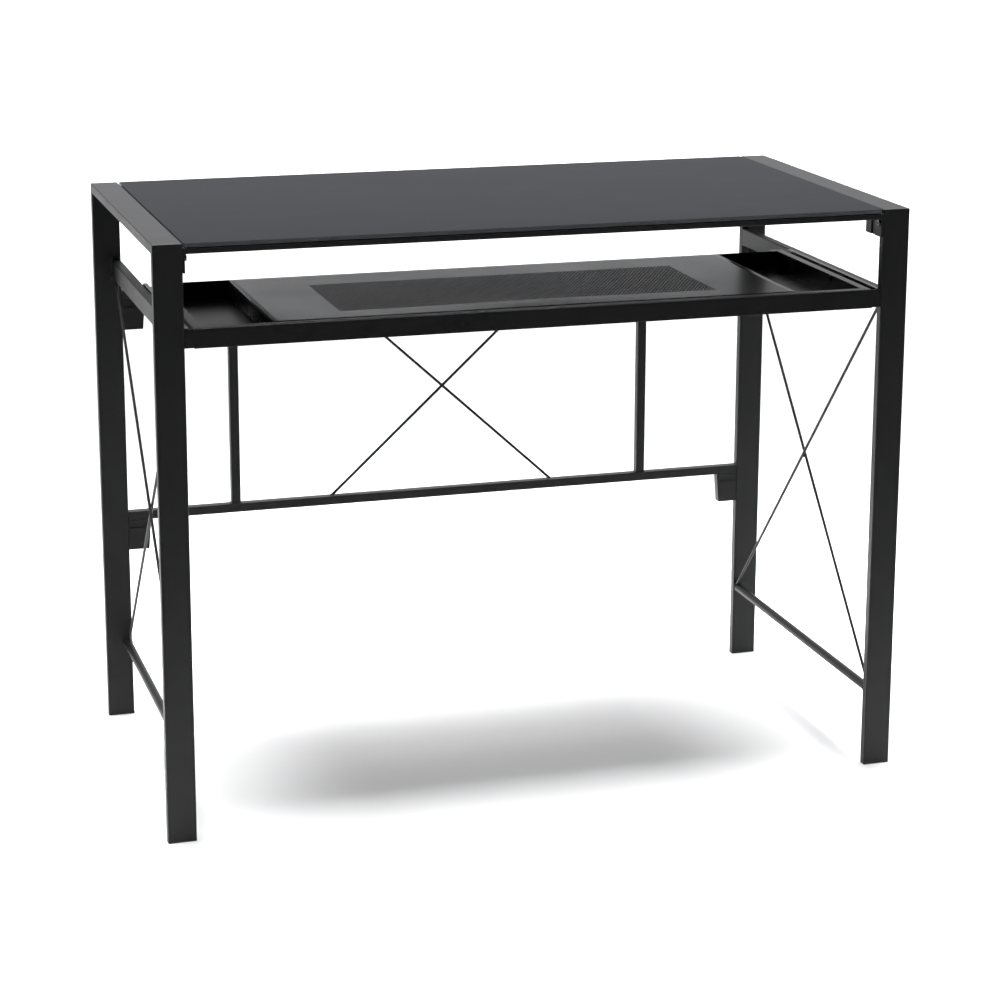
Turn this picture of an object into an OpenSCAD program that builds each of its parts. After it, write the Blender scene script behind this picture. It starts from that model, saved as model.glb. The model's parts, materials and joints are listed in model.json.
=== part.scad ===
// Computer desk: two flat-tube side frames, a glass top, a braced back frame
// and a sheet-steel keyboard tray on ball slides. Millimetres, +Z up.
// Origin on the floor under the middle of the desk, +X to the right, -Y to the sitter.

/* [Desk] */
// Overall width of the desk
desk_w = 1000; // [800:10:1300]
// Overall depth of the desk
desk_d = 500; // [470:10:650]
// Height of the top surface above the floor
desk_h = 772; // [700:2:820]

/* [Side frames] */
// Width of the leg tube, seen from the front
leg_w = 37; // [30:1:50]
// Thickness of the leg tube, front to back
leg_t = 13; // [12:0.5:20]
// Outer corner radius of the leg tube
leg_r = 1.6; // [0.8:0.2:2.4]
// Wall of every rectangular tube
tube_wall = 1.4; // [1:0.2:2]
// Height of the tray rail tube
rail_h = 25; // [24:1:35]
// Top of the tray rail above the floor
rail_top = 665; // [600:1:700]
// Diameter of the low side rail
low_rail_d = 12; // [10:0.5:16]
// Height of the low side rail's centre line
low_rail_z = 107.5; // [80:0.5:160]
// Diameter of the cross rods
rod_d = 4; // [3:0.5:6]

/* [Top] */
// Thickness of the glass
glass_t = 5; // [4:0.5:8]
// Gap between the glass and each side frame
glass_gap = 2; // [1:0.5:4]
// Corner radius of the glass
glass_r = 4; // [2:0.5:10]
// Height of the front and rear top rails
apron_h = 8; // [6:0.5:12]

/* [Back frame] */
// Side of the square tube of the back frame
back_t = 13; // [12:0.5:20]
// Underside of the lower back rail
back_low_z = 289; // [200:1:400]
// Underside of the upper back rail
back_high_z = 608.5; // [520:0.5:615]
// Distance of each upright from the middle
upright_x = 307.5; // [200:0.5:400]
// Distance of the cross rods' ends from the middle
cross_x = 167; // [100:1:185]

/* [Keyboard tray] */
// Clear space between the tray and each side frame
slide_gap = 12; // [12:0.5:14]
// Length of the tray, front to back
tray_d = 297; // [250:1:310]
// Height of the tray
tray_h = 25; // [22:0.5:30]
// Width of the rolled rim at the front and the sides
rim_w = 12; // [10:0.5:20]
// Sheet thickness of the rim's outer wall
rim_wall = 1.5; // [1:0.1:2]
// Sheet thickness of the floor, the platform and the rim's top
sheet_t = 1.2; // [0.8:0.1:1.4]
// Width of the raised platform in the middle
platform_w = 700; // [600:10:740]
// Width of the perforated field
field_w = 512; // [300:2:560]
// Front edge of the perforated field behind the tray's front face
field_front = 59; // [30:1:80]
// Depth of the perforated field
field_d = 178; // [100:2:190]

/* [Slides] */
// Length of each drawer slide
slide_len = 300; // [260:1:310]
// Height of each drawer slide
slide_h = 25; // [24:0.5:27]
// Number of balls in each row
balls = 8; // [4:1:8]

/* [Hidden] */
$fn = 32;

black = [0.13, 0.13, 0.14];
graphite = [0.36, 0.37, 0.39];
glass_tint = [0.3, 0.31, 0.33, 0.9];
zinc = [0.66, 0.67, 0.69];
black_steel = [0.08, 0.08, 0.085];
rubber = [0.05, 0.05, 0.05];

// side frames
inner_x = desk_w / 2 - leg_w;
leg_x = inner_x + leg_w / 2;
leg_y = desk_d / 2 - leg_t / 2;
inner_y = desk_d / 2 - leg_t;
corner_r = 1;
plug_flange = 2;
plug_depth = 14;
plug_play = 0.2;
rod_x = inner_x + 6.5;
rod_mid = (rail_top - rail_h + low_rail_z + low_rail_d / 2 + 1.5) / 2;
rod_rise = (rail_top - rail_h - low_rail_z - low_rail_d / 2 - 1.5) / 2;
rod_run = inner_y - 4;
weld_bite = 0.05;
rod_side = rod_d / 2 - weld_bite;
side_angle = atan2(rod_rise, rod_run);

// top
glass_w = desk_w - 2 * leg_w - 2 * glass_gap;
glass_d = desk_d - 1;
glass_z = desk_h - glass_t;
pad_t = 0.5;
pad_r = 4;
apron_top = glass_z - pad_t;
apron_wall = 1.2;
bracket_t = 3;
bracket_len = 48.5;
bracket_y = desk_d / 2 - 0.5;
bracket_low = desk_h - 37;
bracket_flange = 14;
groove_w = 11;
groove_deep = 1.5;
ledge_len = desk_d - 100;
bolt_z = bracket_low + 18.5;

// back frame
back_y = desk_d / 2 - back_t / 2;
gusset_w = 32;
gusset_taper = 3.5;
gusset_h = 43;
gusset_sheet = 2;
band_low = 32;
band_h = 9;
gusset_bolt = 15;
gusset_bolt_y = desk_d / 2 - 5;
back_mid = (back_low_z + back_t + back_high_z) / 2;
back_rise = (back_high_z - back_low_z - back_t) / 2;
back_angle = atan2(back_rise, cross_x);

// tray
tray_x = inner_x - slide_gap;
tray_w = 2 * tray_x;
tray_y = 1 - desk_d / 2;
tray_back = tray_y + tray_d;
tray_top = rail_top + 1;
tray_z = tray_top - tray_h;
rim_r = 2;
floor_top = tray_z + sheet_t;
field_y = tray_y + field_front;
ear_w = 20;
ear_d = 10;

// slides
slide_y = tray_y + 2;
slide_mid = rail_top - 11;
channel_x = inner_x - 5.5;
channel_wall = 1.2;
runner_h = 16;
runner_wall = 1.2;
runner_tip = inner_x - 2.4;
runner_len = slide_len - 3;
ball_r = 1.4;
ball_x = inner_x - 3.8;
ball_z = 9.65;
ball_pitch = 10;
cage_len = 80;
cage_mid = slide_y + slide_len / 2;
cage_t = 0.6;

// fasteners
head_r = 4;
head_t = 2.6;
shank_r = 2.5;
hole_r = 2.6;
hex_r = 1.7;
screw_r = 3.2;
screw_t = 2;

module rounded(w, h, r) {
  square([w - 2 * r, h], center = true);
  square([w, h - 2 * r], center = true);
  for (sx = [-1, 1], sy = [-1, 1])
    translate([sx * (w / 2 - r), sy * (h / 2 - r)]) circle(r);
}

module tube_section(w, h, r, wall) {
  difference() {
    rounded(w, h, r);
    square([w - 2 * wall, h - 2 * wall], center = true);
  }
}

// a 2-D outline in Y and Z, drawn out along X
module along_x(len) {
  rotate([90, 0, 90]) linear_extrude(height = len, center = true) children();
}

// a 2-D outline in X and Z, drawn out along Y
module along_y(len) {
  rotate([90, 0, 0]) linear_extrude(height = len, center = true) children();
}

// the side frame's outer outline, its top corners eased
module frame_outline() {
  translate([0, desk_h / 2]) rounded(desk_d, desk_h, corner_r);
}

module leg(side, end) {
  color(black) difference() {
    intersection() {
      translate([side * leg_x, end * leg_y, plug_flange])
        linear_extrude(height = desk_h) tube_section(leg_w, leg_t, leg_r, tube_wall);
      translate([side * leg_x, 0, 0]) along_x(leg_w) intersection() {
        frame_outline();
        polygon([[end * desk_d / 2, -1], [end * inner_y, -1],
          [end * inner_y, desk_h - leg_t], [end * desk_d / 2, desk_h]]);
      }
    }
    leg_hole(side, end * leg_y, bolt_z);
    if (end > 0) {
      leg_hole(side, gusset_bolt_y, back_low_z - gusset_h + gusset_bolt);
      leg_hole(side, gusset_bolt_y, back_high_z - gusset_h + gusset_bolt);
    }
  }
}

module leg_hole(side, y, z) {
  translate([side * (inner_x + tube_wall / 2), y, z]) rotate([0, 90, 0])
    cylinder(r = hole_r, h = tube_wall + 1, center = true);
}

module top_beam(side) {
  color(black) translate([side * leg_x, 0, 0]) intersection() {
    translate([0, 0, desk_h - leg_t / 2]) along_y(desk_d)
      tube_section(leg_w, leg_t, leg_r, tube_wall);
    along_x(leg_w) intersection() {
      frame_outline();
      polygon([[-desk_d / 2, desk_h], [-inner_y, desk_h - leg_t],
        [inner_y, desk_h - leg_t], [desk_d / 2, desk_h]]);
    }
  }
}

module foot_plugs() {
  color(rubber) for (side = [-1, 1], end = [-1, 1])
    translate([side * leg_x, end * leg_y, 0]) {
      linear_extrude(height = plug_flange) rounded(leg_w, leg_t, leg_r);
      translate([0, 0, plug_flange / 2]) linear_extrude(height = plug_depth)
        square([leg_w - 2 * tube_wall - 2 * plug_play,
          leg_t - 2 * tube_wall - 2 * plug_play], center = true);
    }
}

module top_rail(end) {
  color(black) translate([0, end * (bracket_y - leg_t / 2), apron_top - apron_h / 2])
    along_x(2 * (inner_x - bracket_t)) tube_section(leg_t, apron_h, 1.2, apron_wall);
}

// an angle: an upright plate on the leg with a pressed groove, and a shelf for the glass
module corner_bracket(side, end) {
  color(black) scale([side, end, 1]) difference() {
    union() {
      translate([inner_x - bracket_t, bracket_y - bracket_len, bracket_low])
        cube([bracket_t, bracket_len, apron_top - bracket_low]);
      translate([inner_x - bracket_t - bracket_flange, bracket_y - bracket_len,
        apron_top - bracket_t])
        cube([bracket_flange, bracket_len - leg_t, bracket_t]);
    }
    translate([inner_x - bracket_t - 1, bracket_y - 20.5 - groove_w, bracket_low - 1])
      cube([groove_deep + 1, groove_w, apron_top - bracket_t - bracket_low - 1]);
    translate([inner_x - bracket_t / 2, leg_y, bolt_z]) rotate([0, 90, 0])
      cylinder(r = hole_r, h = bracket_t + 2, center = true);
  }
}

module glass_ledge(side) {
  color(black) translate([side * (inner_x - bracket_flange / 2), 0, apron_top - bracket_t / 2])
    cube([bracket_flange, ledge_len, bracket_t], center = true);
}

module glass_pads() {
  color(rubber) {
    for (sx = [-1, 1], y = [-150, 0, 150])
      translate([sx * (inner_x - 8), y, apron_top]) cylinder(r = pad_r, h = pad_t);
    for (sx = [-1, 0, 1], sy = [-1, 1])
      translate([sx * 300, sy * (bracket_y - leg_t / 2), apron_top])
        cylinder(r = pad_r, h = pad_t);
  }
}

module glass_top() {
  color(glass_tint) translate([0, 0, glass_z])
    linear_extrude(height = glass_t) rounded(glass_w, glass_d, glass_r);
}

module tray_rail(side) {
  color(black) translate([side * (inner_x + leg_t / 2), 0, rail_top - rail_h / 2])
    along_y(2 * inner_y) tube_section(leg_t, rail_h, leg_r, tube_wall);
}

module low_rail(side) {
  color(black) translate([side * rod_x, 0, low_rail_z]) rotate([90, 0, 0])
    difference() {
      cylinder(d = low_rail_d, h = 2 * inner_y, center = true);
      cylinder(d = low_rail_d - 2 * tube_wall, h = 2 * inner_y + 2, center = true);
    }
}

// a rod from the low rail's end up to the tray rail's other end, cut flush at both
module side_rod(side, lean) {
  color(black) difference() {
    intersection() {
      translate([side * (rod_x + lean * rod_side), 0, rod_mid])
        rotate([90 + lean * side_angle, 0, 0])
        cylinder(d = rod_d, h = desk_h, center = true);
      translate([side * rod_x, 0, (rail_top - rail_h + low_rail_z) / 2])
        cube([leg_t, 2 * inner_y, rail_top - rail_h - low_rail_z], center = true);
    }
    translate([side * rod_x, 0, low_rail_z]) rotate([90, 0, 0])
      cylinder(d = low_rail_d, h = desk_d, center = true);
  }
}

module back_rail(z) {
  color(black) translate([0, back_y, z + back_t / 2]) along_x(2 * inner_x)
    tube_section(back_t, back_t, leg_r, tube_wall);
}

module back_upright(side) {
  color(black) translate([side * upright_x, back_y, back_low_z + back_t])
    linear_extrude(height = back_high_z - back_low_z - back_t)
    tube_section(back_t, back_t, leg_r, tube_wall);
}

module back_rod(lean) {
  color(black) intersection() {
    translate([0, back_y + lean * rod_side, back_mid]) rotate([0, 90 + lean * back_angle, 0])
      cylinder(d = rod_d, h = desk_w, center = true);
    translate([0, back_y, back_mid])
      cube([desk_w, back_t, 2 * back_rise], center = true);
  }
}

// a pressed cup under each end of a back rail, open to the rear
module gusset(side, rail_z) {
  low = rail_z - gusset_h;
  free_x = inner_x - gusset_w;
  front_y = desk_d / 2 - back_t;
  color(black) scale([side, 1, 1]) difference() {
    translate([0, desk_d / 2, 0]) rotate([90, 0, 0]) linear_extrude(height = back_t)
      polygon([[free_x, rail_z], [free_x + gusset_taper, low], [inner_x, low],
        [inner_x, rail_z]]);
    translate([0, desk_d / 2 + 1, 0]) rotate([90, 0, 0])
      linear_extrude(height = back_t + 1 - gusset_sheet - groove_deep)
      polygon([[free_x + gusset_sheet, rail_z - gusset_sheet],
        [free_x + gusset_taper + gusset_sheet, low + gusset_sheet],
        [inner_x - gusset_sheet, low + gusset_sheet],
        [inner_x - gusset_sheet, rail_z - gusset_sheet]]);
    translate([free_x + 2 * gusset_sheet, front_y - 1, low + band_low])
      cube([gusset_w, groove_deep + 1, band_h]);
    translate([inner_x - 1, gusset_bolt_y, low + gusset_bolt]) rotate([0, 90, 0])
      cylinder(r = hole_r, h = 2 * gusset_sheet + 1, center = true);
  }
}

// a pan-headed hex-socket bolt pointing outwards along X from its seat
module bolt(side, grip) {
  scale([side, 1, 1]) rotate([0, 90, 0]) difference() {
    union() {
      translate([0, 0, -head_t]) cylinder(r = head_r, h = head_t);
      translate([0, 0, -0.5]) cylinder(r = shank_r, h = grip + 0.5);
    }
    translate([0, 0, -head_t - 1]) cylinder(r = hex_r, h = 2.4, $fn = 6);
  }
}

module frame_bolts() {
  color(black_steel) for (side = [-1, 1]) {
    for (end = [-1, 1])
      translate([side * (inner_x - bracket_t), end * leg_y, bolt_z])
        bolt(side, bracket_t + 6);
    for (z = [back_low_z, back_high_z])
      translate([side * (inner_x - gusset_sheet), gusset_bolt_y, z - gusset_h + gusset_bolt])
        bolt(side, gusset_sheet + 6);
  }
}

// pan heads on the legs' inner faces, just above the tray rails
module tray_rail_screws() {
  color(black_steel) for (side = [-1, 1], end = [-1, 1])
    translate([side * (inner_x + 8.5), end * inner_y, rail_top + screw_r + 0.4])
      rotate([end * 90, 0, 0]) difference() {
        cylinder(r = screw_r, h = screw_t);
        translate([0, 0, 1]) cylinder(r = 1.4, h = screw_t, $fn = 6);
      }
}

// the fixed member of a slide, a channel open towards the tray
module slide_channel(side) {
  color(black_steel) scale([side, 1, 1]) translate([channel_x, slide_y, slide_mid - slide_h / 2])
    difference() {
      cube([inner_x - channel_x, slide_len, slide_h]);
      translate([-1, -1, channel_wall])
        cube([inner_x - channel_x - channel_wall + 1, slide_len + 2,
          slide_h - 2 * channel_wall]);
    }
}

module slide_bumpers() {
  color(rubber) for (side = [-1, 1])
    scale([side, 1, 1]) translate([channel_x, slide_y + slide_len - 2.8, slide_mid - 8])
      cube([inner_x - channel_x - channel_wall, 2.8, 16]);
}

// the moving member of a slide, a narrower channel on the tray's side wall
module slide_runner(side) {
  color(black_steel) scale([side, 1, 1]) translate([tray_x, slide_y, slide_mid - runner_h / 2])
    difference() {
      cube([runner_tip - tray_x, runner_len, runner_h]);
      translate([runner_wall, -1, runner_wall])
        cube([runner_tip - tray_x, runner_len + 2, runner_h - 2 * runner_wall]);
    }
}

function ball_y(i) = cage_mid + (i - (balls - 1) / 2) * ball_pitch;

module ball_cage(side) {
  color(zinc) scale([side, 1, 1]) translate([0, cage_mid, slide_mid]) difference() {
    union() {
      translate([inner_x - 1.5 - cage_t, -cage_len / 2, -ball_z - cage_t / 2])
        cube([cage_t, cage_len, 2 * ball_z + cage_t]);
      for (up = [-1, 1])
        translate([inner_x - 5.2, -cage_len / 2, up * ball_z - cage_t / 2])
          cube([3.4, cage_len, cage_t]);
    }
    for (i = [0 : balls - 1], up = [-1, 1])
      translate([ball_x, ball_y(i) - cage_mid, up * ball_z])
        cylinder(r = ball_r + 0.05, h = 2, center = true);
  }
}

module slide_balls(side) {
  color(zinc) for (i = [0 : balls - 1], up = [-1, 1])
    translate([side * ball_x, ball_y(i), slide_mid + up * ball_z]) sphere(ball_r);
}

// the rolled rim's section: outer face at 0, eased outer top corner, open underneath
module rim_section() {
  difference() {
    union() {
      square([rim_w, tray_h - rim_r]);
      translate([rim_r, tray_h - 2 * rim_r]) square([rim_w - rim_r, 2 * rim_r]);
      translate([rim_r, tray_h - rim_r]) circle(rim_r);
    }
    translate([rim_wall, -1]) square([rim_w - rim_wall - sheet_t, tray_h - sheet_t + 1]);
    translate([rim_wall, -1]) square([rim_w, sheet_t + 1]);
  }
}

module tray_front() {
  color(black) intersection() {
    translate([0, tray_y, tray_z]) along_x(tray_w) rim_section();
    translate([0, 0, tray_z - 1]) linear_extrude(height = tray_h + 2)
      polygon([[-tray_x, tray_y], [tray_x, tray_y], [tray_x - rim_w, tray_y + rim_w],
        [rim_w - tray_x, tray_y + rim_w]]);
  }
}

module tray_side(side) {
  color(black) scale([side, 1, 1]) intersection() {
    translate([tray_x, tray_y + tray_d / 2, tray_z]) scale([-1, 1, 1])
      along_y(tray_d) rim_section();
    translate([0, 0, tray_z - 1]) linear_extrude(height = tray_h + 2)
      polygon([[tray_x, tray_y], [tray_x - rim_w, tray_y + rim_w],
        [tray_x - rim_w, tray_back - rim_wall], [tray_x, tray_back - rim_wall]]);
  }
}

// the rear wall, with a flat ear at each end
module tray_rear() {
  color(black) {
    translate([-tray_x, tray_back - rim_wall, tray_z]) cube([tray_w, rim_wall, tray_h]);
    for (side = [-1, 1])
      translate([side * (tray_x - ear_w / 2), tray_back + ear_d / 2 - 0.5,
        tray_top - sheet_t / 2])
        cube([ear_w, ear_d + 1, sheet_t], center = true);
  }
}

module tray_floor() {
  color(black) translate([rim_wall - tray_x, tray_y + rim_wall, tray_z])
    cube([tray_w - 2 * rim_wall, tray_d - 2 * rim_wall, sheet_t]);
}

// the raised keyboard platform between the two open compartments
module keyboard_platform() {
  front = tray_y + rim_w;
  deep = tray_back - rim_wall - front;
  color(graphite) difference() {
    translate([-platform_w / 2, front, floor_top])
      cube([platform_w, deep, tray_top - floor_top]);
    translate([sheet_t - platform_w / 2, front - 1, floor_top - 1])
      cube([platform_w - 2 * sheet_t, deep + 2, tray_top - floor_top - sheet_t + 1]);
    translate([-field_w / 2, field_y, floor_top])
      cube([field_w, field_d, tray_h]);
  }
}

module perforated_panel() {
  color(graphite) translate([-field_w / 2, field_y, tray_top - sheet_t])
    cube([field_w, field_d, sheet_t]);
}

module tray_screws() {
  color(black_steel) for (side = [-1, 1], y = [tray_y + 109, tray_y + 229])
    translate([side * (tray_x - rim_w), y, tray_top - screw_r - 1.2])
      rotate([0, -side * 90, 0]) difference() {
        cylinder(r = screw_r, h = screw_t);
        translate([0, 0, 1]) cylinder(r = 1.4, h = screw_t, $fn = 6);
      }
}

// a plate on each end of the tray's front, in front of the slide
module slide_flanges() {
  color(black) for (side = [-1, 1])
    scale([side, 1, 1]) translate([tray_x, slide_y - 1.7, slide_mid - slide_h / 2 + 0.4])
      cube([inner_x - tray_x - 0.4, 1.4, slide_h - 1.2]);
}

leg(-1, -1);  // leg_front_left
leg(1, -1);  // leg_front_right
leg(-1, 1);  // leg_back_left
leg(1, 1);  // leg_back_right
foot_plugs();
top_beam(-1);  // top_beam_left
top_beam(1);  // top_beam_right
top_rail(-1);  // front_top_rail
top_rail(1);  // rear_top_rail
corner_bracket(-1, -1);  // corner_bracket_front_left
corner_bracket(1, -1);  // corner_bracket_front_right
corner_bracket(-1, 1);  // corner_bracket_back_left
corner_bracket(1, 1);  // corner_bracket_back_right
glass_ledge(-1);  // glass_ledge_left
glass_ledge(1);  // glass_ledge_right
glass_pads();
glass_top();
tray_rail(-1);  // tray_rail_left
tray_rail(1);  // tray_rail_right
low_rail(-1);  // low_rail_left
low_rail(1);  // low_rail_right
side_rod(-1, 1);  // side_rod_left_rising
side_rod(-1, -1);  // side_rod_left_falling
side_rod(1, 1);  // side_rod_right_rising
side_rod(1, -1);  // side_rod_right_falling
back_rail(back_high_z);  // back_rail_upper
back_rail(back_low_z);  // back_rail_lower
back_upright(-1);  // back_upright_left
back_upright(1);  // back_upright_right
back_rod(-1);  // back_rod_rising
back_rod(1);  // back_rod_falling
gusset(-1, back_high_z);  // gusset_upper_left
gusset(1, back_high_z);  // gusset_upper_right
gusset(-1, back_low_z);  // gusset_lower_left
gusset(1, back_low_z);  // gusset_lower_right
frame_bolts();
tray_rail_screws();
slide_channel(-1);  // slide_channel_left
slide_channel(1);  // slide_channel_right
slide_bumpers();
slide_runner(-1);  // slide_runner_left
slide_runner(1);  // slide_runner_right
ball_cage(-1);  // ball_cage_left
ball_cage(1);  // ball_cage_right
slide_balls(-1);  // slide_balls_left
slide_balls(1);  // slide_balls_right
tray_front();
tray_rear();
tray_side(-1);  // tray_side_left
tray_side(1);  // tray_side_right
tray_floor();
keyboard_platform();
perforated_panel();
tray_screws();
slide_flanges();
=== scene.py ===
import json
import math
import random

import bmesh
import bpy
from mathutils import Matrix, Vector


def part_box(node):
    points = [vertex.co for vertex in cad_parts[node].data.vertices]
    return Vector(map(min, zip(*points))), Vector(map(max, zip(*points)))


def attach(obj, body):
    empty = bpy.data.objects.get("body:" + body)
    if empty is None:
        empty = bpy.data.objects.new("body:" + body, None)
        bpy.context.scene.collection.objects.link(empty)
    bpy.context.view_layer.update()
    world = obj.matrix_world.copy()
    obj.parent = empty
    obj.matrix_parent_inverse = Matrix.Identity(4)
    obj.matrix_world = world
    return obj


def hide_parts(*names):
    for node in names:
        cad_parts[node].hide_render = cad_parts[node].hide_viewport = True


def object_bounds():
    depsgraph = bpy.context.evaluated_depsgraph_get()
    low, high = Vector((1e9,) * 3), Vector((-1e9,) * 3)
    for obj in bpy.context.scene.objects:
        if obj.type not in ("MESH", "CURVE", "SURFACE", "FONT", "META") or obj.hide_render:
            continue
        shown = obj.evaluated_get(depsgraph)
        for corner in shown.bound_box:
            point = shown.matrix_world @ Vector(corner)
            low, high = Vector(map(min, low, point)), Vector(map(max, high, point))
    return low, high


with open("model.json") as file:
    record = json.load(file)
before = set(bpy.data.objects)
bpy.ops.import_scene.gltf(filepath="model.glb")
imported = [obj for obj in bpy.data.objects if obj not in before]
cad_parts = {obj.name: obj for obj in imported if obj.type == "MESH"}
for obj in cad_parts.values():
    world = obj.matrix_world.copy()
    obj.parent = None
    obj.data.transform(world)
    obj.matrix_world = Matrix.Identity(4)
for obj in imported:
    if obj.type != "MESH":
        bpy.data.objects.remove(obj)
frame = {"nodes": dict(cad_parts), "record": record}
nodes = frame["nodes"]
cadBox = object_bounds()
deskHigh = cadBox[1]
print("frame loaded, pieces:", len(nodes))


# small helpers

def millimetres(value):
    return value / 1000


def addNode(tree, kind, values=None, **settings):
    node = tree.nodes.new(kind)
    for key, value in settings.items():
        setattr(node, key, value)
    for key, value in (values or {}).items():
        node.inputs[key].default_value = value
    return node


def newMaterial(name):
    material = bpy.data.materials.new(name)
    material.use_nodes = True
    tree = material.node_tree
    return material, tree, tree.nodes["Principled BSDF"]


def noiseAt(tree, scale, detail=2.0, roughness=0.5):
    # noise in the desk's own metres, so its grain keeps one size on every piece
    place = addNode(tree, "ShaderNodeTexCoord")
    noise = addNode(tree, "ShaderNodeTexNoise",
                    {"Scale": scale, "Detail": detail, "Roughness": roughness})
    tree.links.new(place.outputs["Object"], noise.inputs["Vector"])
    return noise.outputs["Fac"]


def remap(tree, value, low, high, fromLow=0.0, fromHigh=1.0):
    node = addNode(tree, "ShaderNodeMapRange",
                   {"From Min": fromLow, "From Max": fromHigh, "To Min": low, "To Max": high})
    tree.links.new(value, node.inputs["Value"])
    return node.outputs["Result"]


def maths(tree, operation, first, second=None):
    node = addNode(tree, "ShaderNodeMath", operation=operation)
    for index, value in enumerate((first, second)):
        if isinstance(value, (int, float)):
            node.inputs[index].default_value = value
        elif value is not None:
            tree.links.new(value, node.inputs[index])
    return node.outputs[0]


def mixColour(tree, amount, first, second):
    node = addNode(tree, "ShaderNodeMix", data_type="RGBA")
    if isinstance(amount, (int, float)):
        node.inputs[0].default_value = amount
    else:
        tree.links.new(amount, node.inputs[0])
    for index, value in ((6, first), (7, second)):
        if isinstance(value, tuple):
            node.inputs[index].default_value = (*value, 1)
        else:
            tree.links.new(value, node.inputs[index])
    return node.outputs[2]


def edgeMask(tree, radius, sharpness):
    # 1 on corners that hands and cloths rub, 0 on open faces
    soft = addNode(tree, "ShaderNodeBevel", {"Radius": radius}, samples=4)
    true = addNode(tree, "ShaderNodeNewGeometry")
    dot = addNode(tree, "ShaderNodeVectorMath", operation="DOT_PRODUCT")
    tree.links.new(soft.outputs["Normal"], dot.inputs[0])
    tree.links.new(true.outputs["True Normal"], dot.inputs[1])
    return remap(tree, dot.outputs["Value"], 1.0, 0.0, 1 - sharpness, 1.0)


def addBumps(tree, shader, heights):
    # heights is a list of (value, distance in metres), stacked on one another
    normal = None
    for value, distance in heights:
        bump = addNode(tree, "ShaderNodeBump", {"Strength": 1.0, "Distance": distance})
        tree.links.new(value, bump.inputs["Height"])
        if normal is not None:
            tree.links.new(normal, bump.inputs["Normal"])
        normal = bump.outputs["Normal"]
    tree.links.new(normal, shader.inputs["Normal"])


# finishes

noiseBand = (0.3, 0.7)  # nearly all of a noise's values lie in here


def powderCoat(name, look):
    material, tree, shader = newMaterial(name)
    patches = noiseAt(tree, look["patchScale"], 3)
    peel = noiseAt(tree, look["peelScale"], 1)
    grain = noiseAt(tree, look["grainScale"], 2, 0.6)
    rubbed = remap(tree, noiseAt(tree, look["wearScale"], 4), 0, 1, *look["wearBand"])
    edges = edgeMask(tree, look["edgeWidth"], look["edgeSharpness"])
    worn = maths(tree, "MULTIPLY", edges, rubbed)
    tone = remap(tree, patches, 0, 1, *noiseBand)
    paint = mixColour(tree, tone, look["colour"], look["colourLight"])
    paint = mixColour(tree, maths(tree, "MULTIPLY", worn, look["wear"]), paint, look["edgeColour"])
    tree.links.new(paint, shader.inputs["Base Color"])
    dull, shiny = look["roughness"] + look["patchRough"], look["roughness"] - look["patchRough"]
    rough = remap(tree, patches, shiny, dull, *noiseBand)
    rough = maths(tree, "ADD", rough, remap(tree, grain, -look["grainRough"], look["grainRough"]))
    rough = maths(tree, "SUBTRACT", rough, maths(tree, "MULTIPLY", worn, look["wornPolish"]))
    tree.links.new(rough, shader.inputs["Roughness"])
    shader.inputs["Specular IOR Level"].default_value = look["specular"]
    addBumps(tree, shader, [(peel, look["peelHeight"]), (grain, look["grainHeight"])])
    return material


frameCoat = {
    "colour": (0.0065, 0.0066, 0.0071), "colourLight": (0.0085, 0.0086, 0.0092),
    "edgeColour": (0.06, 0.06, 0.063), "wear": 0.35,
    "roughness": 0.42, "specular": 0.27, "grainRough": 0.04, "patchRough": 0.035,
    "wornPolish": 0.06, "wearBand": (0.38, 0.7),
    "patchScale": 7.0, "peelScale": 420.0, "grainScale": 2100.0, "wearScale": 60.0,
    "peelHeight": 0.00003, "grainHeight": 0.00001,
    "edgeWidth": 0.0009, "edgeSharpness": 0.25,
}
deckCoat = dict(
    frameCoat, colour=(0.028, 0.0284, 0.03), colourLight=(0.034, 0.0344, 0.036), wear=0.2,
    roughness=0.23, specular=0.17, grainRough=0.02, peelHeight=0.00002, grainHeight=0.000006)
trayCoat = dict(
    frameCoat, roughness=0.3, specular=0.25, grainRough=0.03, peelHeight=0.000014,
    grainHeight=0.000006)
steelCoat = dict(
    frameCoat, colour=(0.006, 0.006, 0.0065), colourLight=(0.009, 0.009, 0.0095),
    edgeColour=(0.12, 0.12, 0.125), wear=0.5, roughness=0.24, specular=0.5,
    peelHeight=0.000005, grainHeight=0.000002)

glassLook = {
    "colour": (0.009, 0.0094, 0.011), "colourLight": (0.0115, 0.012, 0.0142),
    # the grey for the glass's underside is painted light: it brightens what the deck below reflects
    "edgeColour": (0.085, 0.092, 0.095), "paintedUnderLight": (0.2, 0.2, 0.205),
    "edgeTilt": (0.3, 0.45), "underTilt": (-0.6, -0.9),  # how far up a face points, from -1 to 1
    "roughness": 0.3, "smudgeRough": (-0.02, 0.03), "edgeRoughness": 0.14, "specular": 0.008,
    "smudgeScale": 5.0, "frostScale": 1500.0, "frostHeight": 0.000003,
}


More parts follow.
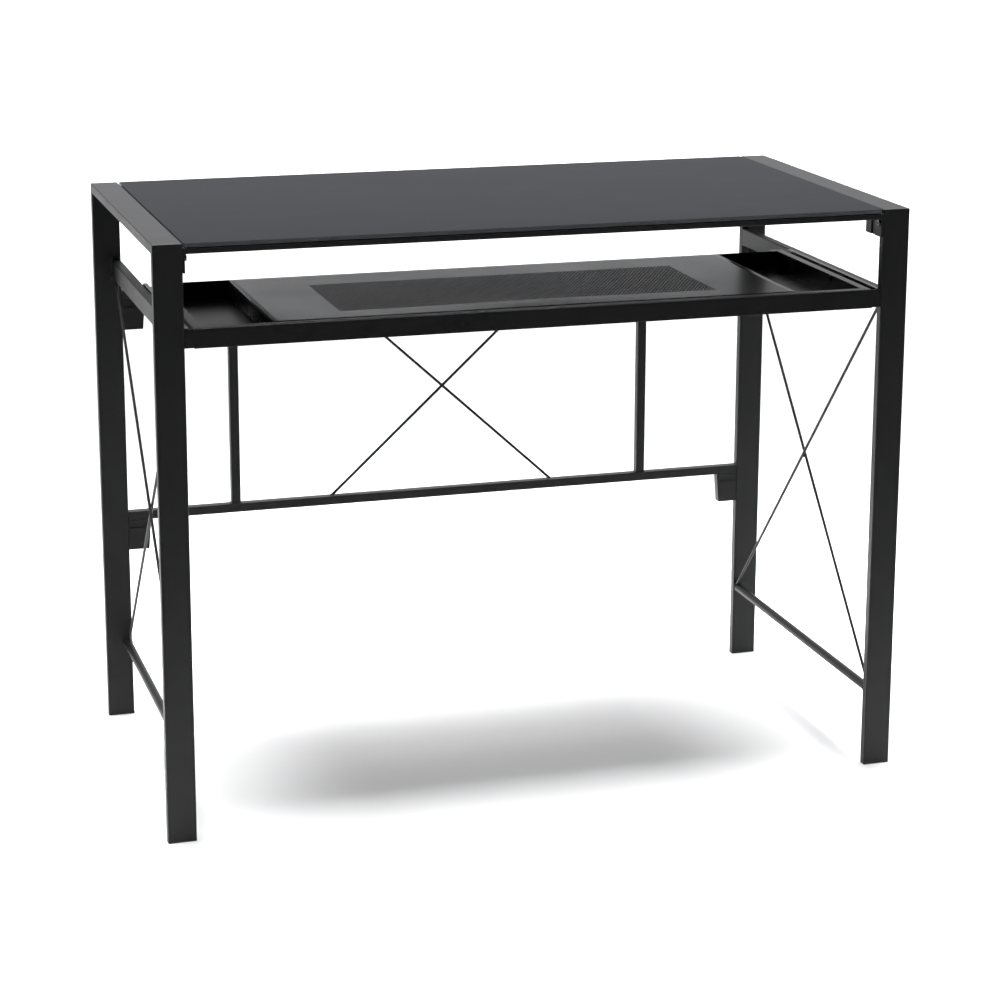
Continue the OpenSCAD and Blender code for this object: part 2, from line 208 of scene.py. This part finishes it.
def frostedGlass(name, look):
    # dark enamelled glass: an even face, a paler ground edge, and a grey back that is painted
    # light, paler than the face so the deck under the top reflects more light
    material, tree, shader = newMaterial(name)
    smudge = noiseAt(tree, look["smudgeScale"], 3)
    frost = noiseAt(tree, look["frostScale"], 1)
    facing = addNode(tree, "ShaderNodeNewGeometry")
    split = addNode(tree, "ShaderNodeSeparateXYZ")
    tree.links.new(facing.outputs["True Normal"], split.inputs[0])
    edge = remap(tree, maths(tree, "ABSOLUTE", split.outputs["Z"]), 1, 0, *look["edgeTilt"])
    tone = remap(tree, smudge, 0, 1, *noiseBand)
    face = mixColour(tree, tone, look["colour"], look["colourLight"])
    face = mixColour(tree, edge, face, look["edgeColour"])
    # painted light: faces that point down take the pale grey, standing in for light under the top
    underLightMask = remap(tree, split.outputs["Z"], 0, 1, *look["underTilt"])
    tree.links.new(mixColour(tree, underLightMask, face, look["paintedUnderLight"]), shader.inputs["Base Color"])
    shiny, dull = (look["roughness"] + change for change in look["smudgeRough"])
    rough = remap(tree, smudge, shiny, dull, *noiseBand)
    rough = maths(tree, "SUBTRACT", rough,
                  maths(tree, "MULTIPLY", edge, look["roughness"] - look["edgeRoughness"]))
    tree.links.new(rough, shader.inputs["Roughness"])
    shader.inputs["Specular IOR Level"].default_value = look["specular"]
    addBumps(tree, shader, [(frost, look["frostHeight"])])
    return material


zincLook = {
    "colour": (0.62, 0.63, 0.645), "colourDark": (0.42, 0.425, 0.43),
    "roughness": 0.3, "spangleScale": 260.0, "spangleRough": (-0.05, 0.08),
    "drawScale": 1400.0, "drawStretch": 0.02, "drawRough": 0.06, "drawHeight": 0.000004,
}


def zincPlate(name, look):
    # bright zinc: faint spangles, and drawing lines along the length of the rails
    material, tree, shader = newMaterial(name)
    place = addNode(tree, "ShaderNodeTexCoord")
    stretch = addNode(tree, "ShaderNodeMapping", {"Scale": (1, look["drawStretch"], 1)})
    lines = addNode(tree, "ShaderNodeTexNoise", {"Scale": look["drawScale"], "Detail": 2})
    tree.links.new(place.outputs["Object"], stretch.inputs["Vector"])
    tree.links.new(stretch.outputs[0], lines.inputs["Vector"])
    spangle = addNode(tree, "ShaderNodeTexVoronoi", {"Scale": look["spangleScale"]})
    tree.links.new(place.outputs["Object"], spangle.inputs["Vector"])
    tone = remap(tree, spangle.outputs["Color"], 0, 1)
    zinc = mixColour(tree, tone, look["colour"], look["colourDark"])
    tree.links.new(zinc, shader.inputs["Base Color"])
    dull, shiny = look["roughness"] + look["drawRough"], look["roughness"] - look["drawRough"]
    rough = maths(tree, "ADD", remap(tree, tone, *look["spangleRough"]),
                  remap(tree, lines.outputs["Fac"], shiny, dull))
    tree.links.new(rough, shader.inputs["Roughness"])
    shader.inputs["Metallic"].default_value = 1.0
    addBumps(tree, shader, [(lines.outputs["Fac"], look["drawHeight"])])
    return material


rubberLook = {
    "colour": (0.011, 0.011, 0.011), "roughness": 0.72,
    "dust": (0.05, 0.048, 0.045), "dustRoughness": 0.9, "dustScale": 90, "dustMost": 0.45,
    "dustBand": (0.5, 0.75), "pebbleScale": 1800, "pebbleHeight": 0.00003,
}


def mouldedRubber(name, look):
    material, tree, shader = newMaterial(name)
    dust = remap(tree, noiseAt(tree, look["dustScale"], 5), 0, look["dustMost"], *look["dustBand"])
    tree.links.new(mixColour(tree, dust, look["colour"], look["dust"]), shader.inputs["Base Color"])
    rough = remap(tree, dust, look["roughness"], look["dustRoughness"])
    tree.links.new(rough, shader.inputs["Roughness"])
    addBumps(tree, shader, [(noiseAt(tree, look["pebbleScale"], 2), look["pebbleHeight"])])
    return material


finishes = {
    "frame_black": powderCoat("frameBlack", frameCoat),
    "tray_black": powderCoat("trayBlack", trayCoat),
    "satin_graphite": powderCoat("deckBlack", deckCoat),
    "glass": frostedGlass("darkGlass", glassLook),
    "black_steel": powderCoat("blackSteel", steelCoat),
    "zinc_steel": zincPlate("zincSteel", zincLook),
    "rubber": mouldedRubber("footRubber", rubberLook),
}
for part in frame["record"]["subparts"]:
    piece = nodes[part["node"]]
    piece.data.materials.clear()
    piece.data.materials.append(finishes[part["material_slot"]])
print("finishes made:", len(finishes))


# rounding of the cut and folded edges

roundingLook = {"joinWithin": 0.005, "segments": 3, "sharperThan": 40}

# width in mm for each node whose name starts so
edgeRounding = {
    "glass_top": 0.7, "foot_plugs": 0.5,
    "corner_bracket": 0.35, "glass_ledge": 0.3, "gusset": 0.5,
    "slide_channel": 0.25, "slide_flanges": 0.3, "slide_runner": 0.25, "slide_bumpers": 0.4,
    "tray_front": 0.3, "tray_rear": 0.3, "tray_side": 0.3, "tray_floor": 0.2,
}


def roundEdges(piece, width, look):
    mesh = piece.data
    if "custom_normal" in mesh.attributes:
        mesh.attributes.remove(mesh.attributes["custom_normal"])
    for face in mesh.polygons:
        face.use_smooth = True
    weld = piece.modifiers.new("joinFaces", "WELD")
    weld.merge_threshold = millimetres(look["joinWithin"])
    bevel = piece.modifiers.new("roundEdges", "BEVEL")
    bevel.width = millimetres(width)
    bevel.segments = look["segments"]
    bevel.limit_method = "ANGLE"
    bevel.angle_limit = math.radians(look["sharperThan"])
    bevel.harden_normals = True


for name, piece in nodes.items():
    for start, width in edgeRounding.items():
        if name.startswith(start):
            roundEdges(piece, width, roundingLook)
print("edges rounded")


def finishPiece(name, bm, body, slotName, smoothAngle):
    # turns a finished bmesh into a piece that rides on its body
    mesh = bpy.data.meshes.new(name)
    bm.to_mesh(mesh)
    bm.free()
    piece = bpy.data.objects.new(name, mesh)
    bpy.context.collection.objects.link(piece)
    mesh.materials.append(finishes[slotName])
    mesh.polygons.foreach_set("use_smooth", [True] * len(mesh.polygons))
    mesh.set_sharp_from_angle(angle=math.radians(smoothAngle))
    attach(piece, body)
    return piece


# the tray's deck: one folded sheet with a field of small staggered holes

deckSheet = {
    "holePitch": 5.0, "holeRadius": 1.9, "ringPoints": 12, "fieldEdge": 1.5, "gridStep": 7.0,
    "thickness": 1.2, "foldRadius": 1.6, "foldSteps": 6, "smoothAngle": 35,
    "frontGap": 0.4, "seamGap": 0.15, "floorGap": 0.1,
    "dish": 1.6, "sideHold": 8, "flatSpot": 0.02, "flatWidth": 0.12, "flatDepth": 2.1,
}
hair = 1e-6  # points closer than this, in metres, are one


def deckSag(x, y, look, low, high):
    # thin sheet is never dead flat: it dips between its edges, least at one spot in front
    across = min(1, abs(2 * (x - low.x) / (high.x - low.x) - 1))
    depth = min(1, abs(2 * (y - low.y) / (high.y - low.y) - 1))
    dip = millimetres(look["dish"]) * (1 - depth ** 2) * (1 - across ** look["sideHold"])
    if y < (low.y + high.y) / 2:
        spot = math.exp(-((x - look["flatSpot"]) / look["flatWidth"]) ** 2)
        dip *= 1 - look["flatDepth"] * spot * depth
    return dip


def evenly(start, end, step):
    count = max(1, round((end - start) / step))
    return [start + (end - start) * i / count for i in range(count + 1)]


def holeField(bm, top, look):
    # each hole sits in a six-sided cell, and the cells tile the field
    low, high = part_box("perforated_panel")
    pitch, radius = millimetres(look["holePitch"]), millimetres(look["holeRadius"])
    rowStep = pitch * math.sqrt(3) / 2
    columns = int((high.x - low.x) / pitch)
    rows = int((high.y - low.y) / rowStep)
    startX = -(columns - 1) / 2 * pitch
    startY = (low.y + high.y) / 2 - (rows - 1) / 2 * rowStep
    points = look["ringPoints"]
    turns = [(math.cos(math.tau * i / points), math.sin(math.tau * i / points))
             for i in range(points)]
    cellReach = [pitch / 2 if i % 2 == 0 else pitch / math.sqrt(3) for i in range(points)]
    corners = {}

    def cornerAt(x, y):
        # neighbouring cells share their corners
        key = (round(x / hair), round(y / hair))
        for near in (key, (key[0] + 1, key[1]), (key[0] - 1, key[1]),
                     (key[0], key[1] + 1), (key[0], key[1] - 1)):
            if near in corners:
                return corners[near]
        corners[key] = bm.verts.new((x, y, top))
        return corners[key]

    for row in range(rows):
        shift = pitch / 2 if row % 2 else 0
        for column in range(columns - (row % 2)):
            x, y = startX + column * pitch + shift, startY + row * rowStep
            outer = [cornerAt(x + reach * c, y + reach * s)
                     for reach, (c, s) in zip(cellReach, turns)]
            inner = [bm.verts.new((x + radius * c, y + radius * s, top)) for c, s in turns]
            for i in range(points):
                after = (i + 1) % points
                bm.faces.new((inner[i], outer[i], outer[after], inner[after]))
    print("deck holes:", rows * columns - rows // 2)
    return set(corners.values())


def plainMargins(bm, outline, sideX, frontY, backY, top, look):
    # the plain sheet around the field is a regular grid, stitched to the cells' outline
    clear, step = millimetres(look["fieldEdge"]), millimetres(look["gridStep"])
    left, right = min(v.co.x for v in outline) - clear, max(v.co.x for v in outline) + clear
    front, back = min(v.co.y for v in outline) - clear, max(v.co.y for v in outline) + clear
    linesX = (evenly(-sideX, left, step)[:-1] + evenly(left, right, step)
              + evenly(right, sideX, step)[1:])
    linesY = (evenly(frontY, front, step)[:-1] + evenly(front, back, step)
              + evenly(back, backY, step)[1:])

    def inField(x, y, edge):
        return left - edge < x < right + edge and front - edge < y < back + edge

    grid = {(x, y): bm.verts.new((x, y, top))
            for x in linesX for y in linesY if not inField(x, y, -hair)}
    for x, nextX in zip(linesX, linesX[1:]):
        for y, nextY in zip(linesY, linesY[1:]):
            if not inField((x + nextX) / 2, (y + nextY) / 2, -hair):
                spots = ((x, y), (nextX, y), (nextX, nextY), (x, nextY))
                bm.faces.new([grid[spot] for spot in spots])
    seam = {grid[x, y] for x, y in grid if inField(x, y, hair)}
    loops = [edge for edge in bm.edges if edge.is_boundary
             and (set(edge.verts) <= seam or set(edge.verts) <= outline)]
    bmesh.ops.triangle_fill(bm, use_beauty=True, use_dissolve=False, edges=loops)


def foldedWalls(bm, sideX, frontY, backY, top, bottom, look):
    # the side walls, rolled down to the tray's floor
    fold, steps = millimetres(look["foldRadius"]), look["foldSteps"]
    for side in (-1, 1):
        path = [(side * (sideX - fold + fold * math.sin(a)), top - fold + fold * math.cos(a))
                for a in (math.pi / 2 * i / steps for i in range(steps + 1))]
        path.append((side * sideX, bottom))
        strips = [(bm.verts.new((x, frontY, z)), bm.verts.new((x, backY, z))) for x, z in path]
        for (front, back), (nextFront, nextBack) in zip(strips, strips[1:]):
            corners = (front, back, nextBack, nextFront)
            bm.faces.new(corners if side > 0 else corners[::-1])


def perforatedDeck(look):
    low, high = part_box("keyboard_platform")
    sideX = high.x - millimetres(look["seamGap"])
    frontY = low.y + millimetres(look["frontGap"])
    backY = high.y - millimetres(look["seamGap"])
    bm = bmesh.new()
    outline = holeField(bm, high.z, look)
    flatX = sideX - millimetres(look["foldRadius"])
    plainMargins(bm, outline, flatX, frontY, backY, high.z, look)
    for vertex in bm.verts:
        vertex.co.z -= deckSag(vertex.co.x, vertex.co.y, look, low, high)
    bmesh.ops.recalc_face_normals(bm, faces=bm.faces)
    if sum(face.normal.z for face in bm.faces) < 0:
        bmesh.ops.reverse_faces(bm, faces=bm.faces)
    deck = sheetPiece("trayDeck", bm, "satin_graphite", look)
    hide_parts("keyboard_platform", "perforated_panel")

    bm = bmesh.new()
    bottom = low.z + millimetres(look["floorGap"])
    foldedWalls(bm, sideX, frontY, backY, high.z, bottom, look)
    bm.normal_update()
    if sum(face.normal.x * face.calc_center_median().x for face in bm.faces) < 0:
        bmesh.ops.reverse_faces(bm, faces=bm.faces)
    sheetPiece("deckFolds", bm, "tray_black", look)


def sheetPiece(name, bm, slotName, look):
    # the sheet's thickness goes in behind its outer face
    piece = finishPiece(name, bm, "tray", slotName, look["smoothAngle"])
    sheet = piece.modifiers.new("sheetThickness", "SOLIDIFY")
    sheet.thickness = millimetres(look["thickness"])
    sheet.offset = -1
    return piece


perforatedDeck(deckSheet)
print("deck made")


# welds where rods cross and where they meet the rails

weldLook = {
    "crossing": 2.72, "squash": 0.6, "end": 3.2, "endShape": (0.85, 0.85, 0.42), "cutDepth": 1.5,
    "lumps": 0.16, "waves": 4, "waveRate": (6, 12), "backGap": 0.1, "smoothAngle": 80, "seed": 7,
}


def weldBlob(bm, centre, reach, shape, look, chance):
    # a lumpy drop of weld metal
    made = bmesh.ops.create_icosphere(bm, subdivisions=3, radius=1.0)["verts"]
    waves = [(Vector([chance.uniform(-1, 1) for _ in range(3)]).normalized(),
              chance.uniform(*look["waveRate"])) for _ in range(look["waves"])]
    for vertex in made:
        way = vertex.co.normalized()
        ripples = sum(math.sin(rate * way.dot(axis)) for axis, rate in waves)
        swell = 1 + look["lumps"] * ripples / look["waves"]
        vertex.co = Vector([part * reach * flat for part, flat in zip(way, shape)]) * swell
        vertex.co += centre
        vertex.co.y = min(vertex.co.y, deskHigh.y - millimetres(look["backGap"]))


def rodEnds(name, look):
    # middle of the rod's lowest and highest cut
    low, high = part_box(name)
    spots = [v.co for v in nodes[name].data.vertices]
    cut = millimetres(look["cutDepth"])
    bottom = [c for c in spots if c.z < low.z + cut]
    crown = [c for c in spots if c.z > high.z - cut]
    return sum(bottom, Vector()) / len(bottom), sum(crown, Vector()) / len(crown)


def rodWelds(look):
    chance = random.Random(look["seed"])
    bm = bmesh.new()
    for place in ("side_rod_left", "side_rod_right", "back_rod"):
        rods = (place + "_rising", place + "_falling")
        corners = [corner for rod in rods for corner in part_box(rod)]
        middle = sum(corners, Vector()) / len(corners)
        shape = (1, look["squash"], 1) if place == "back_rod" else (look["squash"], 1, 1)
        weldBlob(bm, middle, millimetres(look["crossing"]), shape, look, chance)
        for rod in rods:
            for spot in rodEnds(rod, look):
                weldBlob(bm, spot, millimetres(look["end"]), look["endShape"], look, chance)
    return finishPiece("rodWelds", bm, "frame", "frame_black", look["smoothAngle"])


# beads along the seams between the legs, the rails and the uprights

beadLook = {
    "radius": 1.3, "ripple": 1.25, "rippleTurn": 2.1, "swell": 0.16, "uneven": 0.06,
    "endTaper": 0.4, "sides": 8, "railPoints": 30, "hookGap": 1.5, "beamInset": 1.6,
    "backInset": 2.0, "smoothAngle": 80, "seed": 11,
}


def stepPath(corners, closed, step):
    # evenly spaced points along straight runs
    path = []
    ends = corners + corners[:1] if closed else corners
    for first, second in zip(ends, ends[1:]):
        count = max(2, round((second - first).length / step))
        path += [first.lerp(second, i / count) for i in range(count)]
    return path if closed else path + [corners[-1]]


def weldBead(bm, path, normal, closed, look, chance):
    # a rippled bead along a seam
    rings = []
    phase = chance.uniform(0, math.tau)
    last = len(path) - 1
    angles = [math.tau * k / look["sides"] for k in range(look["sides"])]
    for i, spot in enumerate(path):
        before = path[i - 1] if closed or i else spot
        after = path[(i + 1) % len(path)] if closed or i < last else spot
        across = (after - before).normalized().cross(normal).normalized()
        ripple = look["swell"] * math.sin(i * look["rippleTurn"] + phase)
        jitter = chance.uniform(-look["uneven"], look["uneven"])
        reach = millimetres(look["radius"]) * (1 + ripple + jitter)
        if not closed and i in (0, last):
            reach *= look["endTaper"]
        rings.append([bm.verts.new(spot + (across * math.cos(a) + normal * math.sin(a)) * reach)
                      for a in angles])
    pairs = list(zip(rings, rings[1:])) + ([(rings[-1], rings[0])] if closed else [])
    for ring, after in pairs:
        for k in range(look["sides"]):
            bm.faces.new((ring[k - 1], ring[k], after[k], after[k - 1]))
    if not closed:
        bm.faces.new(rings[0])
        bm.faces.new(rings[-1])


def sideSeams(side, look):
    # one side frame's seams: the path, the way the seam faces, and whether the path is a loop
    along, upward = Vector((0, 1, 0)), Vector((0, 0, 1))
    step = millimetres(look["ripple"])
    pipeLow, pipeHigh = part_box("low_rail_" + side)
    pipeMiddle, pipeRadius = (pipeLow + pipeHigh) / 2, (pipeHigh.x - pipeLow.x) / 2
    railLow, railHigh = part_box("tray_rail_" + side)
    insideX, outsideX = sorted((railLow.x, railHigh.x), key=abs)
    hookX = insideX + math.copysign(millimetres(look["hookGap"]), insideX)
    beamLow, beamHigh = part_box("top_beam_" + side)
    inset = millimetres(look["beamInset"])
    turns = [math.tau * i / look["railPoints"] for i in range(look["railPoints"])]
    seams = []
    for y in (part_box("leg_front_" + side)[1].y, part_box("leg_back_" + side)[0].y):
        ring = [Vector((pipeMiddle.x + pipeRadius * math.cos(a), y,
                        pipeMiddle.z + pipeRadius * math.sin(a))) for a in turns]
        seams.append((ring, along, True))
        hook = [Vector((hookX, y, railHigh.z)), Vector((outsideX, y, railHigh.z)),
                Vector((outsideX, y, railLow.z)), Vector((hookX, y, railLow.z))]
        seams.append((stepPath(hook, False, step), along, False))
        underLightMask = [Vector((beamLow.x + inset, y, beamLow.z)),
                 Vector((beamHigh.x - inset, y, beamLow.z))]
        seams.append((stepPath(underLightMask, False, step), upward, False))
    low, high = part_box("back_upright_" + side)
    backY = high.y - millimetres(look["backInset"])
    for z in (low.z, high.z):
        corners = [Vector((low.x, low.y, z)), Vector((high.x, low.y, z)),
                   Vector((high.x, backY, z)), Vector((low.x, backY, z))]
        seams.append((stepPath(corners, True, step), upward, True))
    return seams


def jointWelds(look):
    chance = random.Random(look["seed"])
    bm = bmesh.new()
    for side in ("left", "right"):
        for path, normal, closed in sideSeams(side, look):
            weldBead(bm, path, normal, closed, look, chance)
    bmesh.ops.recalc_face_normals(bm, faces=bm.faces)
    return finishPiece("jointWelds", bm, "frame", "frame_black", look["smoothAngle"])


rodWelds(weldLook)
jointWelds(beadLook)
print("welds made")


# the screws that hold each runner to the tray's side wall

screwLook = {
    "headRadius": 3.1, "headHeight": 1.1, "recessRadius": 1.3, "wall": 1.2, "sides": 24,
    # each ring's share of the radius, and of the head's height
    "head": ((1.0, 0.0), (1.0, 0.25), (0.86, 0.75), (0.55, 1.0)),
    "recess": ((1.0, 1.0), (0.9, 0.3)),
    "recessFloor": 0.3, "along": (0.09, 0.42, 0.86), "smoothAngle": 40,
}


def screwHead(bm, seat, y, z, inward, look):
    # a round head with a six-sided recess
    turns = [math.tau * k / look["sides"] for k in range(look["sides"])]
    sixth = math.pi / 3
    flats = [math.cos(sixth / 2) / math.cos(a % sixth - sixth / 2) for a in turns]

    def lift(rise):
        return seat - inward * millimetres(rise * look["headHeight"])

    rings = []
    for radius, shape, profile in ((look["headRadius"], [1] * len(turns), look["head"]),
                                   (look["recessRadius"], flats, look["recess"])):
        for share, rise in profile:
            x, reach = lift(rise), millimetres(radius * share)
            rings.append([bm.verts.new((x, y + reach * r * math.cos(a),
                                        z + reach * r * math.sin(a)))
                          for r, a in zip(shape, turns)])
    for ring, after in zip(rings, rings[1:]):
        for k in range(len(ring)):
            bm.faces.new((ring[k - 1], ring[k], after[k], after[k - 1]))
    middle = bm.verts.new((lift(look["recessFloor"]), y, z))
    for k in range(len(rings[-1])):
        bm.faces.new((rings[-1][k - 1], rings[-1][k], middle))
    bm.faces.new(rings[0])


def runnerScrews(look):
    bm = bmesh.new()
    for side in ("left", "right"):
        low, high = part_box("slide_runner_" + side)
        inward = -1 if low.x > 0 else 1
        seat = (low.x if low.x > 0 else high.x) - inward * millimetres(look["wall"])
        for share in look["along"]:
            y, z = low.y + (high.y - low.y) * share, (low.z + high.z) / 2
            screwHead(bm, seat, y, z, inward, look)
    bmesh.ops.recalc_face_normals(bm, faces=bm.faces)
    return finishPiece("runnerScrews", bm, "tray", "black_steel", look["smoothAngle"])


runnerScrews(screwLook)
print("screws made")


# stage, light and camera

stageLook = {
    "floorColour": (0.9, 0.9, 0.9), "floorSize": 60.0, "floorRoughness": 0.6,
    "floorSpecular": 0.1, "speckleScale": 3.0, "speckleTone": 0.985,
}


def paleFloor(look):
    material, tree, shader = newMaterial("paleFloor")
    speckle = noiseAt(tree, look["speckleScale"], 4)
    darker = tuple(part * look["speckleTone"] for part in look["floorColour"])
    paint = mixColour(tree, speckle, look["floorColour"], darker)
    tree.links.new(paint, shader.inputs["Base Color"])
    shader.inputs["Roughness"].default_value = look["floorRoughness"]
    shader.inputs["Specular IOR Level"].default_value = look["floorSpecular"]
    half = look["floorSize"] / 2
    mesh = bpy.data.meshes.new("floor")
    mesh.from_pydata([(-half, -half, 0), (half, -half, 0), (half, half, 0), (-half, half, 0)],
                     [], [(0, 1, 2, 3)])
    mesh.materials.append(material)
    floor = bpy.data.objects.new("floor", mesh)
    bpy.context.collection.objects.link(floor)


paleFloor(stageLook)

skyLook = {"front": (0.05, 0.05, 0.05), "back": (0.75, 0.755, 0.77), "strength": 1.0,
           "from": -0.4, "to": 0.72}


def paleSky(look):
    # soft wrap light: pale behind the desk, dimmer behind the viewer
    world = bpy.data.worlds.new("studio")
    bpy.context.scene.world = world
    world.use_nodes = True
    tree = world.node_tree
    background = tree.nodes["Background"]
    place = addNode(tree, "ShaderNodeTexCoord")
    split = addNode(tree, "ShaderNodeSeparateXYZ")
    tree.links.new(place.outputs["Generated"], split.inputs[0])
    blend = remap(tree, split.outputs["Y"], 0, 1, look["from"], look["to"])
    tree.links.new(mixColour(tree, blend, look["front"], look["back"]), background.inputs["Color"])
    background.inputs["Strength"].default_value = look["strength"]


paleSky(skyLook)

lightRig = {
    "overhead": {"at": (0.0, 0.25, 2.6), "aim": (0, 0.25, 0), "size": (2.6, 1.6),
                 "power": 56, "spread": 62},
    "background": {"at": (5.2, 9.0, 4.8), "aim": (5.2, 9.0, 0), "size": (14.6, 13),
                   "power": 1570, "spread": 112},
    "leftSide": {"at": (-4.2, 1.2, 1.6), "aim": (0, 0, 0.3), "size": (2.2, 2.2),
                 "power": 5, "spread": 180},
}


def softLight(name, look):
    lamp = bpy.data.lights.new(name, "AREA")
    lamp.shape = "RECTANGLE"
    lamp.size, lamp.size_y = look["size"]
    lamp.energy = look["power"]
    lamp.spread = math.radians(look["spread"])
    light = bpy.data.objects.new(name, lamp)
    light.location = look["at"]
    aim = Vector(look["aim"]) - Vector(look["at"])
    light.rotation_euler = aim.to_track_quat("-Z", "Y").to_euler()
    bpy.context.collection.objects.link(light)


for name, look in lightRig.items():
    softLight(name, look)
print("lights set:", len(lightRig))

viewpoint = {
    "turn": -17.292, "rise": 13.544, "roll": 0.264, "away": 3.6680, "aside": 0.0351,
    "above": 0.1002, "lens": 95.820, "sensor": 36, "shiftX": -0.0150, "shiftY": -0.1000,
}


def placeCamera(look):
    turn, rise, roll = (math.radians(look[key]) for key in ("turn", "rise", "roll"))
    back = Vector((math.sin(turn) * math.cos(rise), -math.cos(turn) * math.cos(rise),
                   math.sin(rise)))
    right = (-back).cross(Vector((0, 0, 1))).normalized()
    up = right.cross(-back)
    tiltedRight = right * math.cos(roll) + up * math.sin(roll)
    tiltedUp = up * math.cos(roll) - right * math.sin(roll)
    data = bpy.data.cameras.new("camera")
    data.lens, data.sensor_width = look["lens"], look["sensor"]
    data.shift_x, data.shift_y = look["shiftX"], look["shiftY"]
    camera = bpy.data.objects.new("camera", data)
    place = (Vector((0, 0, deskHigh.z / 2)) + back * look["away"]
             + tiltedRight * look["aside"] + tiltedUp * look["above"])
    turnMatrix = Matrix((tiltedRight, tiltedUp, back)).transposed().to_4x4()
    camera.matrix_world = Matrix.Translation(place) @ turnMatrix
    bpy.context.collection.objects.link(camera)
    bpy.context.scene.camera = camera


placeCamera(viewpoint)
bpy.context.scene.view_settings.view_transform = "Standard"
print("camera placed")
